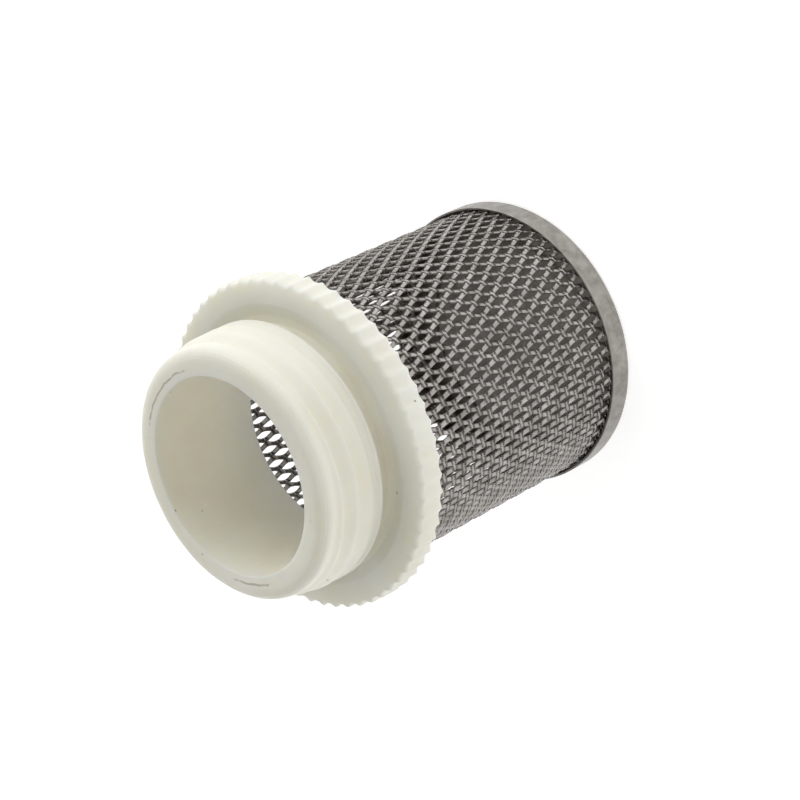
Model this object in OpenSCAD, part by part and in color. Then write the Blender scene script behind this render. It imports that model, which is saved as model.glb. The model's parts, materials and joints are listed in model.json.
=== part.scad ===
// Strainer basket of a 1 inch foot valve: a moulded collar with a male pipe thread,
// a sleeve of expanded stainless sheet and a pressed stainless end cap.
// The axis is +Z towards the threaded mouth. The origin is the centre of the cap's outer face.

/* [Threaded neck] */
// Major diameter of the pipe thread
thread_d = 33.25; // [26:0.05:36]
// Pitch of the pipe thread
thread_pitch = 2.309; // [2:0.001:2.6]
// Depth of the moulded thread groove
thread_depth = 0.5; // [0.3:0.05:0.9]
// Width of the thread groove at the crest
groove_w = 1.5; // [1:0.05:1.7]
// Wall of the neck from the bore to the thread's crest
neck_wall = 4.1; // [3.5:0.1:6]
// Height of the neck from the flange's seat to the mouth
neck_h = 10.9; // [8:0.1:15]
// Flat width of the mouth's end face
mouth_flat = 1.45; // [1:0.05:1.8]
// Radius of the rounded lead-in at the mouth
lead_r = 1.9; // [1.2:0.1:2.2]
// Height from the mouth at which the thread reaches its full diameter
lead_h = 3.2; // [2.4:0.1:4]
// Height of the undercut between the thread and the flange
undercut_h = 2; // [1.5:0.1:3]
// Depth of the undercut below the thread's crest
undercut_depth = 1.4; // [1:0.1:1.6]

/* [Flange] */
// How far the flange stands out past the mesh sleeve
flange_lip = 2.75; // [2:0.05:4]
// Thickness of the flange
flange_t = 3.6; // [3.2:0.1:6]
// Number of grip teeth round the flange
teeth = 60; // [36:2:80]
// Depth of the grip teeth
tooth_depth = 0.45; // [0.2:0.05:0.7]
// Radius of the flange's front corner
front_r = 0.6; // [0.4:0.1:1.8]
// Radius of the flange's back corner
back_r = 0.4; // [0.2:0.1:0.6]
// Depth of the dish inside the flange's seat
dish_depth = 0.5; // [0.2:0.1:0.8]
// Depth of the slot that holds the sleeve
slot_depth = 2.4; // [1.5:0.1:2.6]
// Length of the spigot that backs the sleeve from inside
spigot_l = 1.8; // [1:0.1:4]

/* [Mesh sleeve] */
// How far the sleeve stands out past the thread's crest
sleeve_step = 1.775; // [1.2:0.025:3]
// Length of sleeve that shows between the cap and the flange
mesh_l = 35; // [24:0.5:42]
// Thickness of the expanded sheet over its raised strands
mesh_t = 0.9; // [0.5:0.02:1.1]
// Width of a mesh cell round the sleeve
cell_w = 2.06; // [1.9:0.02:3]
// Length of a mesh cell along the sleeve
cell_l = 3.54; // [3.2:0.02:5]
// Width of a strand
strand_w = 0.6; // [0.45:0.01:0.7]
// Plain margin at each end of the sleeve
end_margin = 0.7; // [0.5:0.1:1.5]
// Mesh cells from one seam weld to the next
weld_step = 2; // [1:1:4]
// Diameter of a seam weld
weld_d = 0.5; // [0.3:0.05:0.55]

/* [End cap] */
// Thickness of the cap's sheet
cap_t = 0.3; // [0.25:0.05:0.6]
// Height of the cap's skirt
skirt_h = 3.6; // [2.5:0.1:8]
// Outer radius of the cap's pressed corner
cap_corner = 0.8; // [0.7:0.05:1.5]

/* [Hidden] */
$fn = 96;
eps = 0.02;                 // overlap of a cut past the face it opens
cut_past = 0.4;             // how far a mesh cut runs past each side of the sheet
cap_fit = 0.02;             // radial clearance between the sleeve and the cap's skirt
slot_fit = 0.05;            // clearance between the sleeve and each wall of its slot
thread_r = thread_d / 2;
bore_r = thread_r - neck_wall;
undercut_r = thread_r - undercut_depth;
sleeve_r = thread_r + sleeve_step;
sleeve_in = sleeve_r - mesh_t;
lap_in = sleeve_in - mesh_t;
cap_r = sleeve_r + cap_fit + cap_t;
flange_r = sleeve_r + flange_lip;
flange_z = skirt_h + mesh_l;
seat_z = flange_z + flange_t;
mouth_z = seat_z + neck_h;
thread_z = seat_z + undercut_h;
spigot_z = flange_z - spigot_l;
dish_in = undercut_r + 0.5;  // radius at which the seat's dish starts to rise
dish_out = thread_r + 1.3;  // radius at which the seat's dish ends
undercut_slope = 0.42;      // half height of the slope from the crest into the undercut
sleeve_z = cap_corner;
sleeve_top = flange_z + slot_depth;
sleeve_l = sleeve_top - sleeve_z;
cells = 2 * round(PI * sleeve_r / cell_w);
cell_a = 360 / cells;
row_h = cell_l / 2;
strand_a = atan(cell_w / cell_l);
hole_w = cell_w - strand_w / cos(strand_a);
hole_l = cell_l - strand_w / sin(strand_a);
rows = floor((sleeve_l - 2 * end_margin - hole_l) / row_h) + 1;
first_row = sleeve_z + (sleeve_l - (rows - 1) * row_h) / 2;
seam_a = 135;               // direction that the seam faces
lap_cells = 2;              // width of the lapped seam in cells
lap_z = skirt_h;
weld_dip = 0.03;            // depth of a seam weld below each face of the lap
weld_h = 2 * mesh_t - 2 * weld_dip;
lap_gap = 0.3;              // the lap is notched clear of the collar's spigot
lap_top = spigot_z - lap_gap;
groove_root = 0.3;          // width of a thread groove at its root
grooves = floor((mouth_z - lead_h - groove_w / 2 - thread_z) / thread_pitch);

// Points of a circular arc in the profile's plane, from one angle to another.
function arc(r, z, rad, from, to, n = 5) =
    [for (i = [0:n]) let (a = from + (to - from) * i / n) [r + rad * cos(a), z + rad * sin(a)]];

// Outline of one thread groove, cut down from the crest at height z.
function groove(z) =
    [[thread_r, z + groove_w / 2], [thread_r - thread_depth, z + groove_root / 2],
     [thread_r - thread_depth, z - groove_root / 2], [thread_r, z - groove_w / 2]];

// Half section of the neck, with the rounded lead-in, the thread's crests and the undercut.
function neck_section() = concat(
    [[bore_r, flange_z], [bore_r, mouth_z]],
    arc(bore_r + mouth_flat, mouth_z - lead_r, lead_r, 90, 0),
    [[thread_r, mouth_z - lead_h]],
    [for (turn = [grooves:-1:1]) each groove(thread_z + turn * thread_pitch)],
    [[thread_r, thread_z + undercut_slope], [undercut_r, thread_z - undercut_slope],
     [undercut_r, flange_z]]);

// Corners of a regular polygon of the given radius, one corner per mesh cell.
function ring(r) = [for (i = [0:cells - 1]) r * [cos(seam_a + i * cell_a), sin(seam_a + i * cell_a)]];

// Half section of the flange, with the dished seat and rounded corners.
function flange_section() = concat(
    [[bore_r, flange_z], [bore_r, seat_z - dish_depth], [dish_in, seat_z - dish_depth],
     [dish_out, seat_z]],
    arc(flange_r - front_r, seat_z - front_r, front_r, 90, 0),
    arc(flange_r - back_r, flange_z + back_r, back_r, 0, -90));

module tube(r_out, r_in, z, h)
    translate([0, 0, z])
        difference() {
            cylinder(r = r_out, h = h);
            translate([0, 0, -eps]) cylinder(r = r_in, h = h + 2 * eps);
        }

module threaded_collar()
    color("ivory")
        difference() {
            union() {
                rotate_extrude() polygon(neck_section());
                intersection() {
                    rotate_extrude() polygon(flange_section());
                    translate([0, 0, flange_z - eps])
                        linear_extrude(flange_t + 2 * eps)
                            polygon([for (i = [0:2 * teeth - 1])
                                (flange_r - (i % 2) * tooth_depth)
                                    * [cos(180 * i / teeth), sin(180 * i / teeth)]]);
                }
                tube(sleeve_in - slot_fit, bore_r, spigot_z, spigot_l + slot_depth);
            }
            tube(sleeve_r + slot_fit, sleeve_in - slot_fit, flange_z - eps, slot_depth + eps);
        }

// Cut through one wall of the sleeve that opens every second row of one column of cells.
module column_cut(parity)
    translate([lap_in - cut_past, 0, 0])
        rotate([90, 0, 90])
            linear_extrude(sleeve_r - lap_in + 2 * cut_past)
                for (row = [parity:2:rows - 1])
                    translate([0, first_row + row * row_h])
                        polygon([[hole_w / 2, 0], [0, hole_l / 2], [-hole_w / 2, 0], [0, -hole_l / 2]]);

// Seam welds sit on the crossings in the middle of the lap.
module at_welds()
    for (row = [0:2 * weld_step:rows - 1])
        let (z = first_row + row * row_h)
            if (z > lap_z + cell_l / 2 && z < lap_top - cell_l / 2)
                translate([0, 0, z]) rotate([0, 90, seam_a]) children();

module mesh_sleeve()
    color("gray")
        difference() {
            union() {
                translate([0, 0, sleeve_z])
                    linear_extrude(sleeve_l)
                        difference() {
                            polygon(ring(sleeve_r));
                            polygon(ring(sleeve_in));
                        }
                intersection() {
                    tube(sleeve_in + eps, lap_in, lap_z, lap_top - lap_z);
                    rotate([0, 0, seam_a - lap_cells * cell_a / 2])
                        translate([0, 0, lap_z])
                            linear_extrude(lap_top - lap_z)
                                polygon([[0, 0], [2 * sleeve_r, 0],
                                    2 * sleeve_r * [cos(lap_cells * cell_a), sin(lap_cells * cell_a)]]);
                }
            }
            for (column = [0:2 * cells - 1])
                rotate([0, 0, seam_a + (column + 1) * cell_a / 2]) column_cut(column % 2);
            at_welds()
                translate([0, 0, lap_in - cut_past])
                    cylinder(d = weld_d, h = sleeve_r - lap_in + 2 * cut_past);
        }

module seam_spot_welds()
    color("silver")
        at_welds()
            translate([0, 0, lap_in + weld_dip])
                cylinder(d = weld_d, h = weld_h);

module end_cap()
    color("lightgray")
        rotate_extrude()
            polygon(concat(
                [[0, 0]],
                arc(cap_r - cap_corner, cap_corner, cap_corner, -90, 0),
                [[cap_r, skirt_h], [cap_r - cap_t, skirt_h]],
                arc(cap_r - cap_corner, cap_corner, cap_corner - cap_t, 0, -90),
                [[0, cap_t]]));

threaded_collar();
mesh_sleeve();
seam_spot_welds();
end_cap();
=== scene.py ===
import json
import math

import bpy
from mathutils import Matrix, Vector, noise


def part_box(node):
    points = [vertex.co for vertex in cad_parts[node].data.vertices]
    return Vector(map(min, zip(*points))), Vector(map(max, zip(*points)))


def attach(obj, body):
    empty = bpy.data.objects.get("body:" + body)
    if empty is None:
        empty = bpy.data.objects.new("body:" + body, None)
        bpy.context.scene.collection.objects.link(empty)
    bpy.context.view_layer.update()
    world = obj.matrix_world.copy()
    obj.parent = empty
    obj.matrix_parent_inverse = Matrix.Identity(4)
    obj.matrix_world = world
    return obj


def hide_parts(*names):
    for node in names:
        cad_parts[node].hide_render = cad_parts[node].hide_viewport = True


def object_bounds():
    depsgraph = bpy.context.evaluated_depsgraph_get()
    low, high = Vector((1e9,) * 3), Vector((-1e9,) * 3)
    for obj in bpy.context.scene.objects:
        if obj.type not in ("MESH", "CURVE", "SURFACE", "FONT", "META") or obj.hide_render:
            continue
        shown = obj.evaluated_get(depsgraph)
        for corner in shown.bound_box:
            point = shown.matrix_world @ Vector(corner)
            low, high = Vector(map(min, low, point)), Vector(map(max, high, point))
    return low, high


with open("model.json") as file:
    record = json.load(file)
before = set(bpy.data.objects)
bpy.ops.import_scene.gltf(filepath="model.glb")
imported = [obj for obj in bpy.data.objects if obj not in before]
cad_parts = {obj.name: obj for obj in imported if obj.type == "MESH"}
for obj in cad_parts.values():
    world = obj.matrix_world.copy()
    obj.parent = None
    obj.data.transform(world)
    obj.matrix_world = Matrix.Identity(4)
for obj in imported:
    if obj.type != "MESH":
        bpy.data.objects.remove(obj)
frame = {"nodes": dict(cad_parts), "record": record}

CAD_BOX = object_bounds()
MM = 0.001
TURN = 2 * math.pi

# ---------------------------------------------------------------- sizes, from the frame and the real parts
collar_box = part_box("threaded_collar")
sleeve_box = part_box("mesh_sleeve")
cap_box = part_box("end_cap")
mounts = {mount["name"]: mount for mount in frame["record"]["mounts"]}

BORE_R = mounts["waterway_bore"]["dims"]["r_mm"] * MM
THREAD_R = mounts["thread_g1"]["dims"]["r_mm"] * MM
SEAT_Z = mounts["seat_face"]["pos_m"][2]
MOUTH_Z = collar_box[1][2]
SPIGOT_Z = collar_box[0][2]
FLANGE_R = collar_box[1][0]
SLEEVE_R = sleeve_box[1][0]
SLEEVE_TOP = sleeve_box[1][2]
SLEEVE_Z = sleeve_box[0][2]
CAP_R = cap_box[1][0]
SKIRT_TOP = cap_box[1][2]

FLANGE_Z = SEAT_Z - 3.6 * MM
UNDERCUT_H = 2.0 * MM
THREAD_END = SEAT_Z + UNDERCUT_H
UNDERCUT_R = THREAD_R - 1.4 * MM
DISH_OUT = THREAD_R + 1.3 * MM
DISH_DEPTH = 0.5 * MM
PITCH = 2.309 * MM          # 11 turns to the inch
THREAD_DEPTH = 0.36 * MM
TEETH = 60
TOOTH_DEPTH = 0.4 * MM
SHEET_T = 0.9 * MM          # room that the slot and the lap leave for the expanded sheet
SLOT_FIT = 0.05 * MM
CAP_T = 0.3 * MM
CAP_CORNER = 0.8 * MM
CELLS = 56                  # mesh cells round the sleeve
CELL_L = 3.54 * MM          # mesh cell along the sleeve
CELL_A = TURN / CELLS
ROW_H = CELL_L / 2
ROWS = 21                   # rows of cells along the sleeve
FIRST_ROW = SLEEVE_Z + ((SLEEVE_TOP - SLEEVE_Z) - (ROWS - 1) * ROW_H) / 2
SEAM = math.radians(135)    # direction that the sleeve's lapped seam faces


def smooth(x):
    """0 below 0, 1 above 1 and an even S between."""
    x = min(max(x, 0.0), 1.0)
    return x * x * (3 - 2 * x)


def bump(x, width):
    """A round hump of height 1 at x = 0 that fades out at the given width."""
    return 1 - smooth(abs(x) / width)


def linear(hex_colour):
    """The linear colour of an sRGB hex value such as "E8E4D8"."""
    values = [int(hex_colour[i:i + 2], 16) / 255 for i in (0, 2, 4)]
    return [v / 12.92 if v <= 0.04045 else ((v + 0.055) / 1.055) ** 2.4 for v in values] + [1.0]


# ---------------------------------------------------------------- materials
def new_material(name):
    """A material with its shader and output joined, and a function that adds a node."""
    material = bpy.data.materials.new(name)
    material.use_nodes = True
    tree = material.node_tree
    shader = tree.nodes["Principled BSDF"]

    def add(kind, links=(), sockets=(), **settings):
        """Adds a node. links are (its input, source socket) pairs, sockets are (its input, value) pairs."""
        node = tree.nodes.new("ShaderNode" + kind)
        for key, value in settings.items():
            setattr(node, key, value)
        for key, value in sockets:
            node.inputs[key].default_value = value
        for key, source in links:
            tree.links.new(source, node.inputs[key])
        return node

    def join(source, socket):
        tree.links.new(source, shader.inputs[socket])

    return material, shader, add, join


def nylon_material():
    """Natural polyamide as it comes from the mould: a creamy, slightly translucent white with a soft satin
    skin. Light sinks in and warms the shaded side. Handling leaves a broken grey line where the mouth rubbed
    on a bench, and regrind leaves a few dark specks."""
    material, shader, add, join = new_material("nylon_natural_moulded")
    shader.inputs["Roughness"].default_value = 0.42
    shader.inputs["IOR"].default_value = 1.53
    shader.inputs["Subsurface Weight"].default_value = 0.6
    shader.inputs["Subsurface Radius"].default_value = (1.0, 0.85, 0.6)
    shader.inputs["Subsurface Scale"].default_value = 4.0 * MM
    place = add("TexCoord").outputs["Object"]
    # Slow change of tint through the wall, over about 9 mm
    cloud = add("TexNoise", [("Vector", place)], [("Scale", 1 / (9 * MM)), ("Detail", 3.0)]).outputs["Fac"]
    tint = add("ValToRGB", [("Fac", cloud)])
    tint.color_ramp.elements[0].position = 0.3
    tint.color_ramp.elements[0].color = linear("EEEADA")
    tint.color_ramp.elements[1].position = 0.7
    tint.color_ramp.elements[1].color = linear("F4F2E7")
    # Specks of 0.15 mm, about one in each 4 mm of surface
    cell = add("TexVoronoi", [("Vector", place)], [("Scale", 1 / (4 * MM))])
    speck = add("MapRange", [("Value", cell.outputs["Distance"])],
                [("From Min", 0.022), ("From Max", 0.05), ("To Min", 0.75), ("To Max", 0.0)])
    specked = add("MixRGB", [("Fac", speck.outputs["Result"]), ("Color1", tint.outputs["Color"])],
                  [("Color2", linear("6E685C"))])
    # The rubbed line on the mouth's end face, along two stretches of it: middle and half length in degrees
    parts = add("SeparateXYZ", [("Vector", place)])
    flat = add("CombineXYZ", [("X", parts.outputs["X"]), ("Y", parts.outputs["Y"])])
    radius = add("VectorMath", [("Vector", flat.outputs["Vector"])], operation="LENGTH").outputs["Value"]
    wander = add("TexNoise", [("Vector", place)],
                 [("Scale", 1 / (1.5 * MM)), ("Detail", 4.0)]).outputs["Fac"]
    shifted = add("Math", [(0, wander), (2, radius)], [(1, 0.5 * MM)],
                  operation="MULTIPLY_ADD").outputs["Value"]
    offset = add("Math", [(0, shifted)], [(1, BORE_R + 1.3 * MM)], operation="SUBTRACT").outputs["Value"]
    distance = add("Math", [(0, offset)], operation="ABSOLUTE").outputs["Value"]
    line = add("MapRange", [("Value", distance)],
               [("From Min", 0.03 * MM), ("From Max", 0.2 * MM), ("To Min", 1.0), ("To Max", 0.0)])
    at_face = add("MapRange", [("Value", parts.outputs["Z"])],
                  [("From Min", MOUTH_Z - 0.5 * MM), ("From Max", MOUTH_Z - 0.25 * MM)])
    along = add("VectorMath", [(0, flat.outputs["Vector"])], operation="NORMALIZE").outputs["Vector"]
    stretches = []
    for middle, half in ((20, 32), (160, 16)):
        towards = (math.cos(math.radians(middle)), math.sin(math.radians(middle)), 0.0)
        edge = math.cos(math.radians(half))
        near = add("VectorMath", [(0, along)], [(1, towards)], operation="DOT_PRODUCT").outputs["Value"]
        inside = add("MapRange", [("Value", near)], [("From Min", edge), ("From Max", 1.0)])
        stretches.append(inside.outputs["Result"])
    stretch = add("Math", [(0, stretches[0]), (1, stretches[1])], operation="MAXIMUM").outputs["Value"]
    patches = add("TexNoise", [("Vector", place)],
                  [("Scale", 1 / (0.9 * MM)), ("Detail", 2.0)]).outputs["Fac"]
    sparse = add("Math", [(0, stretch), (2, patches)], [(1, 0.5)],
                 operation="MULTIPLY_ADD").outputs["Value"]
    broken = add("MapRange", [("Value", sparse)], [("From Min", 0.62), ("From Max", 0.85)])
    worn = add("Math", [(0, line.outputs["Result"]), (1, at_face.outputs["Result"])], operation="MULTIPLY")
    grime = add("Math", [(0, worn.outputs["Value"]), (1, broken.outputs["Result"])], operation="MULTIPLY")
    faint = add("Math", [(0, grime.outputs["Value"])], [(1, 0.55)], operation="MULTIPLY")
    rubbed = add("MixRGB", [("Fac", faint.outputs["Value"]), ("Color1", specked.outputs["Color"])],
                 [("Color2", linear("7C776B"))])
    join(rubbed.outputs["Color"], "Base Color")
    # Mould texture: a fine orange peel of 0.5 mm over a slower unevenness of 3 mm
    fine = add("TexNoise", [("Vector", place)], [("Scale", 1 / (0.5 * MM)), ("Detail", 2.0)]).outputs["Fac"]
    slow = add("TexNoise", [("Vector", place)], [("Scale", 1 / (3 * MM)), ("Detail", 1.0)]).outputs["Fac"]
    height = add("Math", [(0, slow), (2, fine)], [(1, 2.5)], operation="MULTIPLY_ADD").outputs["Value"]
    skin = add("Bump", [("Height", height)], [("Strength", 0.25), ("Distance", 0.05 * MM)])
    join(skin.outputs["Normal"], "Normal")
    return material


def steel(name, dark, light, roughness, grain, stretch, bump_strength):
    """Stainless sheet. grain is the size in metres of its colour change, and stretch draws its fine lines
    out round the axis (above 1) or along it (below 1)."""
    material, shader, add, join = new_material(name)
    shader.inputs["Metallic"].default_value = 1.0
    place = add("TexCoord").outputs["Object"]
    cloud = add("TexNoise", [("Vector", place)],
                [("Scale", 1 / grain), ("Detail", 5.0), ("Roughness", 0.6)])
    tint = add("ValToRGB", [("Fac", cloud.outputs["Fac"])])
    tint.color_ramp.elements[0].position = 0.35
    tint.color_ramp.elements[0].color = linear(dark)
    tint.color_ramp.elements[1].position = 0.65
    tint.color_ramp.elements[1].color = linear(light)
    join(tint.outputs["Color"], "Base Color")
    drawn = add("Mapping", [("Vector", place)], [("Scale", (1.0, 1.0, stretch))])
    # Rolling lines of 0.12 mm, coarser than the real ones so that they show
    lines = add("TexNoise", [("Vector", drawn.outputs["Vector"])],
                [("Scale", 1 / (0.12 * MM)), ("Detail", 2.0)])
    gloss = add("MapRange", [("Value", lines.outputs["Fac"])],
                [("From Min", 0.3), ("From Max", 0.7),
                 ("To Min", roughness - 0.07), ("To Max", roughness + 0.07)])
    join(gloss.outputs["Result"], "Roughness")
    rolled = add("Bump", [("Height", lines.outputs["Fac"])],
                 [("Strength", bump_strength), ("Distance", 0.02 * MM)])
    join(rolled.outputs["Normal"], "Normal")
    return material


def mesh_material():
    """Stainless sheet slit and stretched into mesh: a half bright grey with a faint brown cast, clouded over
    a cell or so, with fine rolling lines along the sleeve."""
    return steel("stainless_expanded", "928D88", "B8B4B0", 0.32, 2.5 * MM, 0.12, 0.5)


def cap_material():
    """Thin stainless sheet pressed into a cup: an even grey satin with streaks drawn round the skirt."""
    return steel("stainless_pressed_satin", "8A8681", "A5A29C", 0.36, 1.6 * MM, 6.0, 0.35)


def weld_material():
    """Resistance weld in stainless sheet: small darker spots with a straw tint."""
    return steel("stainless_spot_weld", "5F564B", "8C8273", 0.45, 0.3 * MM, 1.0, 0.5)


# ---------------------------------------------------------------- mesh making
def new_piece(name, vertices, faces, material, slot, *replaced):
    """A smooth mesh piece that rides on the one rigid body and stands for CAD nodes."""
    mesh = bpy.data.meshes.new(name)
    mesh.from_pydata(vertices, [], faces)
    mesh.materials.append(material)
    mesh.polygons.foreach_set("use_smooth", [True] * len(mesh.polygons))
    piece = bpy.data.objects.new(name, mesh)
    bpy.context.scene.collection.objects.link(piece)
    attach(piece, "root")
    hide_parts(*replaced)
    return piece


def run(start, end, step):
    """Points from start up to, but not including, end, no further apart than step."""
    count = max(1, math.ceil(math.dist(start, end) / step))
    return [tuple(a + (b - a) * i / count for a, b in zip(start, end)) for i in range(count)]


def fillet_path(corners, step):
    """A closed outline through (r, z, fillet radius) corners, filled in with points every step."""
    points = []
    count = len(corners)
    for i, (r, z, radius) in enumerate(corners):
        before = Vector(corners[i - 1][:2]) - Vector((r, z))
        after = Vector(corners[(i + 1) % count][:2]) - Vector((r, z))
        if radius == 0:
            points.append((r, z))
            continue
        before.normalize()
        after.normalize()
        half = math.acos(max(-1, min(1, before.dot(after)))) / 2
        back = radius / math.tan(half)
        centre = Vector((r, z)) + (before + after).normalized() * radius / math.sin(half)
        first = Vector((r, z)) + before * back - centre
        last = Vector((r, z)) + after * back - centre
        sweep = first.angle_signed(last)
        steps = max(2, math.ceil(abs(sweep) / math.radians(15)))
        for k in range(steps + 1):
            turned = Matrix.Rotation(-sweep * k / steps, 2) @ first
            points.append(tuple(centre + turned))
    filled = []
    for here, there in zip(points, points[1:] + points[:1]):
        filled += run(here, there, step)
    return filled


def revolve(outline, segments, shape):
    """Vertices and quads of a closed outline turned about Z. shape gives the radius and height of a point
    from its outline values and its angle."""
    vertices = []
    for r, z in outline:
        for k in range(segments):
            angle = TURN * k / segments
            radius, height = shape(r, z, angle)
            vertices.append((radius * math.cos(angle), radius * math.sin(angle), height))
    rings = len(outline)
    faces = []
    for i in range(rings):
        j = (i + 1) % rings
        for k in range(segments):
            n = (k + 1) % segments
            faces.append((i * segments + k, i * segments + n, j * segments + n, j * segments + k))
    return vertices, faces


# ---------------------------------------------------------------- threaded collar
def thread_groove(z, angle):
    """Depth below the crest of the soft right-hand thread, which slopes down from one turn's edge to the
    next."""
    turns = (z - THREAD_END) / PITCH - angle / TURN
    up = turns % 1.0
    slope = min(up / 0.86, (1 - up) / 0.14)
    depth = THREAD_DEPTH * smooth(slope) ** 0.8
    into_lead = smooth((MOUTH_Z - 0.9 * MM - z) / (1.6 * MM))
    last_turn = smooth((z - THREAD_END - 0.15 * MM) / (0.5 * MM))
    return depth * into_lead * last_turn


def tooth(angle):
    """Depth of the rounded gap between the flange's pointed grip teeth at an angle, 0 on a tooth's tip."""
    return TOOTH_DEPTH * abs(math.sin(angle * TEETH / 2))


def collar_shape(r, z, angle):
    """Cuts the thread and the teeth into the collar's turned outline, and lets it be a little uneven."""
    where = Vector((r * math.cos(angle), r * math.sin(angle), z)) / (6 * MM)
    sink = noise.noise(where) * 0.04 * MM
    if z > THREAD_END and r > THREAD_R - 2.2 * MM:
        body = min(r, THREAD_R)
        crest_cut = min(thread_groove(z, angle), max(0.0, body - (THREAD_R - 1.1 * MM)))
        return r - crest_cut + sink, z
    if r > THREAD_R + 1.9 * MM and FLANGE_Z - 0.01 * MM < z < SEAT_Z + 0.01 * MM:
        at_rim = smooth((r - (FLANGE_R - 1.2 * MM)) / (0.8 * MM))
        return r - tooth(angle) * at_rim + min(sink, 0.0), z
    if r > BORE_R + 0.3 * MM and z > SEAT_Z - DISH_DEPTH:
        return r, z + min(sink, 0.0) * 0.5
    return r, z


def make_collar(material):
    """One nylon moulding: bore, mouth, thread, undercut, dished seat, toothed flange, slot and spigot."""
    slot_out = SLEEVE_R + SLOT_FIT
    slot_in = SLEEVE_R - SHEET_T - SLOT_FIT
    edge = 0.15 * MM
    corners = [
        (BORE_R, SPIGOT_Z, 0.3 * MM),
        (BORE_R, MOUTH_Z, edge),
        (BORE_R + 3.35 * MM, MOUTH_Z, 1.75 * MM),
        (THREAD_R - 0.62 * MM, MOUTH_Z - 2.2 * MM, 1.5 * MM),
        (THREAD_R, MOUTH_Z - 4.6 * MM, 2.0 * MM),
        (THREAD_R, THREAD_END, edge),
        (UNDERCUT_R, THREAD_END - 0.5 * MM, 0.3 * MM),
        (UNDERCUT_R, SEAT_Z - DISH_DEPTH, 0.35 * MM),
        (UNDERCUT_R + 1.2 * MM, SEAT_Z - DISH_DEPTH, 0.6 * MM),
        (DISH_OUT, SEAT_Z, 0.6 * MM),
        (FLANGE_R, SEAT_Z, 0.6 * MM),
        (FLANGE_R, FLANGE_Z, 0.4 * MM),
        (slot_out, FLANGE_Z, edge),
        (slot_out, SLEEVE_TOP + SLOT_FIT, 0),
        (slot_in, SLEEVE_TOP + SLOT_FIT, 0),
        (slot_in, SPIGOT_Z, 0.3 * MM),
    ]
    outline = fillet_path(corners, 0.14 * MM)
    vertices, faces = revolve(outline, TEETH * 8, collar_shape)
    return new_piece("collar_moulding", vertices, faces, material, "moulded_nylon", "threaded_collar")


# ---------------------------------------------------------------- expanded mesh sleeve
STRAND_W = 0.66 * MM        # width that the slitting tool cuts
STRAND_T = 0.34 * MM        # thickness of the sheet before it is stretched
BOND_HALF = 0.26 * MM       # half length of the joint between two cells
TILT = math.radians(15)     # how far stretching turns each strand out of the sheet
LAP_CELLS = 2               # cells that the sheet's ends lap
LAP_RAMP = 2.5              # cells over which the under layer rises to the outer one


def layer_drop(column, z):
    """How far the sheet lies below the outer layer: a full thickness in the lap, then ramping out."""
    under = 1 - smooth((column - LAP_CELLS) / LAP_RAMP)
    below_spigot = smooth((SPIGOT_Z - 0.8 * MM - z) / (3 * MM))
    return (SHEET_T + 0.04 * MM) * under * below_spigot


def on_sleeve(column, z, across, out):
    """A point of the rolled sheet. column counts cells round it, and across and out are metres from the
    middle of a strand, along its width and its thickness."""
    tangent, lift = math.cos(TILT), math.sin(TILT)
    middle = SLEEVE_R - SHEET_T / 2 - 0.03 * MM
    radius = middle - layer_drop(column, z) - across * lift + out * tangent
    angle = SEAM + (column - LAP_CELLS / 2) * CELL_A + (across * tangent + out * lift) / SLEEVE_R
    return (radius * math.cos(angle), radius * math.sin(angle), z)


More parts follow.
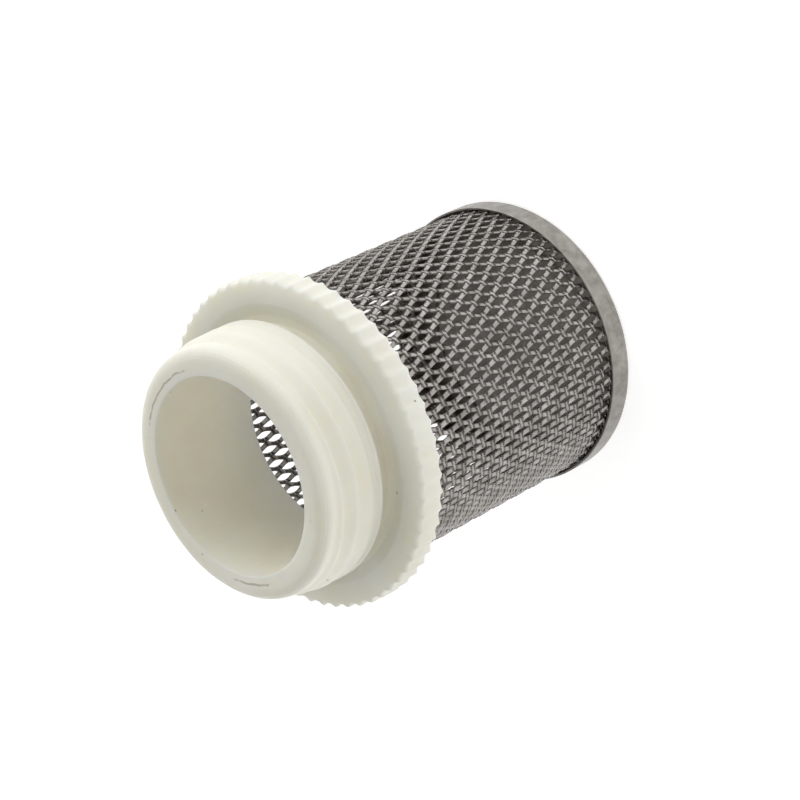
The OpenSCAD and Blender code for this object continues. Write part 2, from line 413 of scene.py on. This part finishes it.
def make_sleeve(material):
    """Expanded stainless sheet: rows of joints, each with two tilted strands up to the row above."""
    rows = range(-1, ROWS + 1)  # one more at each end, inside the cap and the slot
    bonds = {}
    vertices = []
    faces = []

    def station(column, z, left, right, swell=1.0):
        """Four corners of a strand's section between two places across it, lower side first."""
        start = len(vertices)
        for across, out in ((left, -1), (right, -1), (right, 1), (left, 1)):
            vertices.append(on_sleeve(column, z, across, out * STRAND_T / 2 * swell))
        return [start + k for k in range(4)]

    for row in rows:
        shift = 0.5 * (row % 2)
        z = FIRST_ROW + row * ROW_H
        last = CELLS + LAP_CELLS - (row % 2)
        for index in range(last + 1):
            column = index + shift
            if column < LAP_CELLS - 0.1 and z > SPIGOT_Z - 1.6 * MM:
                continue
            ends = []
            for side in (-1, 1):
                level = z + side * BOND_HALF
                start = len(vertices)
                for across in (-STRAND_W, 0, STRAND_W):
                    for out in (-1, 1):
                        vertices.append(on_sleeve(column, level, across, out * STRAND_T / 2))
                ends.append(start)
            bonds[row, column] = ends
            low, high = ends
            for k in (0, 2):
                faces.append((low + k, high + k, high + k + 2, low + k + 2))
                faces.append((low + k + 1, low + k + 3, high + k + 3, high + k + 1))
            faces.append((low, low + 1, high + 1, high))
            faces.append((low + 4, high + 4, high + 5, low + 5))

    def half(start, right):
        """The four corners of one half of a joint's end, in the order that station() uses."""
        k = start + (2 if right else 0)
        return [k, k + 2, k + 3, k + 1]

    def skin(a, b):
        for k in range(4):
            n = (k + 1) % 4
            faces.append((a[k], a[n], b[n], b[k]))

    used = set()
    for (row, column), (low, high) in bonds.items():
        for right in (False, True):
            other = (row + 1, column + (0.5 if right else -0.5))
            if other not in bonds:
                continue
            used.add((row, column, right, "top"))
            used.add((*other, not right, "bottom"))
            start = half(high, right)
            end = half(bonds[other][0], not right)
            middle_z = FIRST_ROW + (row + 0.5) * ROW_H
            middle = station((column + other[1]) / 2, middle_z, -STRAND_W / 2, STRAND_W / 2)
            skin(start, middle)
            skin(middle, end)
    for (row, column), (low, high) in bonds.items():
        for right in (False, True):
            if (row, column, right, "top") not in used:
                faces.append(tuple(half(high, right)))
            if (row, column, right, "bottom") not in used:
                faces.append(tuple(reversed(half(low, right))))
    piece = new_piece("sleeve_mesh", vertices, faces, material, "expanded_stainless", "mesh_sleeve")
    mesh = piece.data
    crease = mesh.attributes.new("crease_edge", "FLOAT", "EDGE")
    crease.data.foreach_set("value", [0.35] * len(mesh.edges))
    rounding = piece.modifiers.new("rounding", "SUBSURF")
    rounding.levels = rounding.render_levels = 1
    return piece


# ---------------------------------------------------------------- end cap
def cap_shape(r, z, angle):
    """Presses the mesh's strands faintly through the skirt, with uneven force round it."""
    if z < 1.2 * MM:
        return r, z
    cell = round((angle - SEAM) / CELL_A)
    force = 0.5 + 0.5 * noise.noise(Vector((cell * 1.7, 0.3, 0.0)))
    away = (angle - SEAM - cell * CELL_A) * CAP_R
    dent = 0.1 * MM * force * bump(away, 0.4 * MM) * bump(z - 2.1 * MM, 0.6 * MM)
    wave = 0.03 * MM * noise.noise(Vector((math.cos(angle) * 3, math.sin(angle) * 3, 5.0)))
    lip = smooth((z - SKIRT_TOP + 0.8 * MM) / (0.8 * MM))
    return r - dent, z + min(0.0, wave) * lip


def make_cap(material):
    """Thin pressed cup: a disc with a shallow pressed ring, a round corner and a short skirt with a cut
    edge."""
    hub = 0.4 * MM
    ring = 13.5 * MM
    corners = [
        (hub, 0.25 * MM, 0),
        (ring, 0.25 * MM, 0.6 * MM),
        (ring + 0.6 * MM, 0, 0.6 * MM),
        (CAP_R, 0, CAP_CORNER),
        (CAP_R, SKIRT_TOP, 0.08 * MM),
        (CAP_R - CAP_T, SKIRT_TOP, 0.08 * MM),
        (CAP_R - CAP_T, CAP_T, CAP_CORNER - CAP_T),
        (ring + 0.6 * MM, CAP_T, 0.6 * MM),
        (ring, CAP_T + 0.25 * MM, 0.6 * MM),
        (hub, CAP_T + 0.25 * MM, 0),
    ]
    outline = fillet_path(corners, 0.22 * MM)
    segments = CELLS * 12
    vertices, faces = revolve(outline, segments, cap_shape)
    # The hub is closed with two fans in place of the wall that the outline's last side would turn
    rings = len(outline)
    at_hub = [i for i, (r, z) in enumerate(outline) if abs(r - hub) < 1e-7]
    drop = set()
    for i in at_hub:
        if (i + 1) % rings in at_hub:
            drop.add(i)
    faces = [f for n, f in enumerate(faces) if n // segments not in drop]
    low = min(at_hub, key=lambda i: outline[i][1])
    high = max(at_hub, key=lambda i: outline[i][1])
    for i, flip in ((low, False), (high, True)):
        centre = len(vertices)
        vertices.append((0.0, 0.0, outline[i][1]))
        for k in range(segments):
            n = (k + 1) % segments
            pair = (i * segments + k, i * segments + n)
            faces.append((centre, *(pair if flip else pair[::-1])))
    return new_piece("cap_pressing", vertices, faces, material, "pressed_stainless", "end_cap")


# ---------------------------------------------------------------- camera, light and floor
def make_camera():
    """Looks down on the mouth, rolled so that the basket lies from lower left to upper right. Returns the
    matrix that turns a direction seen by the camera into the frame's."""
    data = bpy.data.cameras.new("camera")
    camera = bpy.data.objects.new("camera", data)
    bpy.context.scene.collection.objects.link(camera)
    data.sensor_width = 36
    data.lens = 110.25
    data.clip_start = 0.01
    # Directions of the frame's X, Y and Z seen by the camera: right, up and towards it
    axis = Vector((-0.6732, -0.3275, 0.6630)).normalized()
    sideways = Vector((axis.y, -axis.x, 0)).normalized()
    depth = axis.cross(sideways)
    basis = Matrix((sideways, depth, axis))
    middle = Vector((0, 0, (CAD_BOX[0][2] + CAD_BOX[1][2]) / 2))
    seen = Vector((-0.002385, -0.000433, -0.305233))
    camera.matrix_world = Matrix.Translation(middle - basis @ seen) @ basis.to_4x4()
    bpy.context.scene.camera = camera
    return basis


def make_floor():
    """Plain white board, a little self-lit like a light table."""
    material, shader, add, join = new_material("floor_white_board")
    shader.inputs["Roughness"].default_value = 0.9
    shader.inputs["Base Color"].default_value = linear("F4F4F2")
    shader.inputs["Emission Color"].default_value = (1, 1, 1, 1)
    shader.inputs["Emission Strength"].default_value = 0.61
    half = 3.0      # metres, far past what the camera sees
    mesh = bpy.data.meshes.new("floor")
    corners = [(-half, -half, 0), (half, -half, 0), (half, half, 0), (-half, half, 0)]
    mesh.from_pydata(corners, [], [(0, 1, 2, 3)])
    mesh.materials.append(material)
    floor = bpy.data.objects.new("floor", mesh)
    bpy.context.scene.collection.objects.link(floor)
    floor.location.z = -0.02 * MM


# Bright patches of the white tent: degrees round the object from the camera, degrees above the floor, how
# tightly the patch is gathered, and its strength
TENT = [
    (90, 14, 10, 3.6),
    (45, 14, 10, 0.9),
    (135, 14, 10, 0.6),
    (180, 14, 10, 1.4),
    (180, 45, 6, 0.25),
    (-60, 48, 6, 1.35),
    (-45, 14, 10, 0.4),
]


def make_world(basis):
    """A white tent lit mostly from low on the object's left, with weaker patches behind it and above on its
    right."""
    world = bpy.data.worlds.new("studio")
    bpy.context.scene.world = world
    world.use_nodes = True
    tree = world.node_tree
    towards_camera = basis @ Vector((0, 0, 1))
    camera_turn = math.atan2(towards_camera.y, towards_camera.x)

    def compute(operation, first, second):
        """A sum step on a socket and a second socket or plain number."""
        node = tree.nodes.new("ShaderNodeMath")
        node.operation = operation
        tree.links.new(first, node.inputs[0])
        if isinstance(second, (int, float)):
            node.inputs[1].default_value = second
        else:
            tree.links.new(second, node.inputs[1])
        return node.outputs["Value"]

    place = tree.nodes.new("ShaderNodeTexCoord")
    total = None
    for turn, height, gather, strength in TENT:
        around = camera_turn + math.radians(turn)
        up = math.radians(height)
        facing = tree.nodes.new("ShaderNodeVectorMath")
        facing.operation = "DOT_PRODUCT"
        facing.inputs[1].default_value = (
            math.cos(around) * math.cos(up), math.sin(around) * math.cos(up), math.sin(up))
        tree.links.new(place.outputs["Generated"], facing.inputs[0])
        ahead = compute("MAXIMUM", facing.outputs["Value"], 0.0)
        patch = compute("MULTIPLY", compute("POWER", ahead, gather), strength)
        total = patch if total is None else compute("ADD", patch, total)
    background = tree.nodes["Background"]
    background.inputs["Color"].default_value = linear("FBFCFD")
    tree.links.new(total, background.inputs["Strength"])


make_world(make_camera())
make_floor()

make_collar(nylon_material())
make_sleeve(mesh_material())
make_cap(cap_material())
weld = weld_material()
for slot in frame["nodes"]["seam_spot_welds"].material_slots:
    slot.material = weld

bpy.context.scene.view_settings.view_transform = "Standard"
